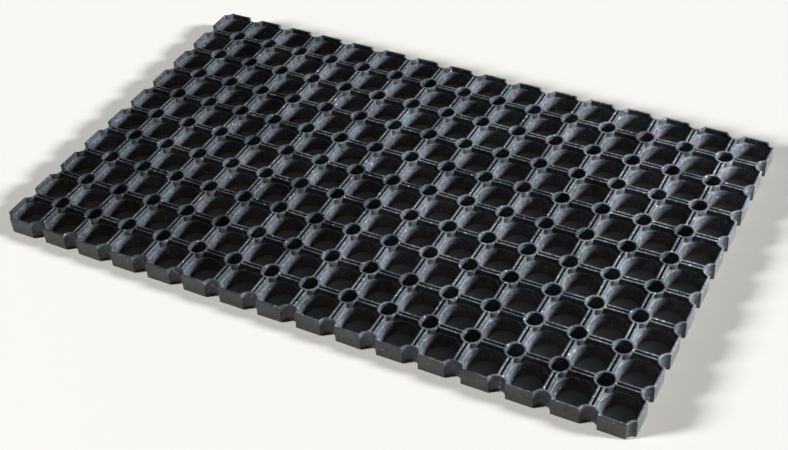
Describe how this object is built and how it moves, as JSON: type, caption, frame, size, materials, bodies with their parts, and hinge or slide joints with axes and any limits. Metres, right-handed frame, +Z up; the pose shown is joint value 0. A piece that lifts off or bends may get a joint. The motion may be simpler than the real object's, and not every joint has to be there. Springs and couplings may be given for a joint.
{
  "type": "door mat",
  "caption": "Black rubber door mat: a grid of open octagonal cells with a small round drain hole at every cell corner, flexing along the grooves between its columns of cells.",
  "frame": {"origin": "centre of the underside, on the floor", "axes": "+X along the long side to the right, +Y along the short side to the back, +Z up out of the tread"},
  "size_m": [0.7976, 0.4976, 0.022],
  "materials": {
    "black_rubber": "satin moulded rubber, slightly dusty, rims worn lighter"
  },
  "bodies": {
    "column_01": {"cell_column_01": "black_rubber"},
    "column_02": {"cell_column_02": "black_rubber"},
    "column_03": {"cell_column_03": "black_rubber"},
    "column_04": {"cell_column_04": "black_rubber"},
    "column_05": {"cell_column_05": "black_rubber"},
    "column_06": {"cell_column_06": "black_rubber"},
    "column_07": {"cell_column_07": "black_rubber"},
    "column_08": {"cell_column_08": "black_rubber"},
    "column_09": {"cell_column_09": "black_rubber"},
    "column_10": {"cell_column_10": "black_rubber"},
    "column_11": {"cell_column_11": "black_rubber"},
    "column_12": {"cell_column_12": "black_rubber"},
    "column_13": {"cell_column_13": "black_rubber"},
    "column_14": {"cell_column_14": "black_rubber"},
    "column_15": {"cell_column_15": "black_rubber"},
    "column_16": {"cell_column_16": "black_rubber"}
  },
  "joints": [
    {"name": "bend_08_09", "type": "hinge", "parent": "column_08", "child": "column_09", "pos_m": [0, 0, 0.016], "axis": [0, -1, 0], "range_deg": [0, 20], "stiffness_Nm_per_rad": 5.5},
    {"name": "bend_09_10", "type": "hinge", "parent": "column_09", "child": "column_10", "pos_m": [0.05, 0, 0.016], "axis": [0, -1, 0], "range_deg": [0, 20], "stiffness_Nm_per_rad": 5.5},
    {"name": "bend_10_11", "type": "hinge", "parent": "column_10", "child": "column_11", "pos_m": [0.1, 0, 0.016], "axis": [0, -1, 0], "range_deg": [0, 20], "stiffness_Nm_per_rad": 5.5},
    {"name": "bend_11_12", "type": "hinge", "parent": "column_11", "child": "column_12", "pos_m": [0.15, 0, 0.016], "axis": [0, -1, 0], "range_deg": [0, 20], "stiffness_Nm_per_rad": 5.5},
    {"name": "bend_12_13", "type": "hinge", "parent": "column_12", "child": "column_13", "pos_m": [0.2, 0, 0.016], "axis": [0, -1, 0], "range_deg": [0, 20], "stiffness_Nm_per_rad": 5.5},
    {"name": "bend_13_14", "type": "hinge", "parent": "column_13", "child": "column_14", "pos_m": [0.25, 0, 0.016], "axis": [0, -1, 0], "range_deg": [0, 20], "stiffness_Nm_per_rad": 5.5},
    {"name": "bend_14_15", "type": "hinge", "parent": "column_14", "child": "column_15", "pos_m": [0.3, 0, 0.016], "axis": [0, -1, 0], "range_deg": [0, 20], "stiffness_Nm_per_rad": 5.5},
    {"name": "bend_15_16", "type": "hinge", "parent": "column_15", "child": "column_16", "pos_m": [0.35, 0, 0.016], "axis": [0, -1, 0], "range_deg": [0, 20], "stiffness_Nm_per_rad": 5.5},
    {"name": "bend_07_08", "type": "hinge", "parent": "column_08", "child": "column_07", "pos_m": [-0.05, 0, 0.016], "axis": [0, 1, 0], "range_deg": [0, 20], "stiffness_Nm_per_rad": 5.5},
    {"name": "bend_06_07", "type": "hinge", "parent": "column_07", "child": "column_06", "pos_m": [-0.1, 0, 0.016], "axis": [0, 1, 0], "range_deg": [0, 20], "stiffness_Nm_per_rad": 5.5},
    {"name": "bend_05_06", "type": "hinge", "parent": "column_06", "child": "column_05", "pos_m": [-0.15, 0, 0.016], "axis": [0, 1, 0], "range_deg": [0, 20], "stiffness_Nm_per_rad": 5.5},
    {"name": "bend_04_05", "type": "hinge", "parent": "column_05", "child": "column_04", "pos_m": [-0.2, 0, 0.016], "axis": [0, 1, 0], "range_deg": [0, 20], "stiffness_Nm_per_rad": 5.5},
    {"name": "bend_03_04", "type": "hinge", "parent": "column_04", "child": "column_03", "pos_m": [-0.25, 0, 0.016], "axis": [0, 1, 0], "range_deg": [0, 20], "stiffness_Nm_per_rad": 5.5},
    {"name": "bend_02_03", "type": "hinge", "parent": "column_03", "child": "column_02", "pos_m": [-0.3, 0, 0.016], "axis": [0, 1, 0], "range_deg": [0, 20], "stiffness_Nm_per_rad": 5.5},
    {"name": "bend_01_02", "type": "hinge", "parent": "column_02", "child": "column_01", "pos_m": [-0.35, 0, 0.016], "axis": [0, 1, 0], "range_deg": [0, 20], "stiffness_Nm_per_rad": 5.5}
  ]
}
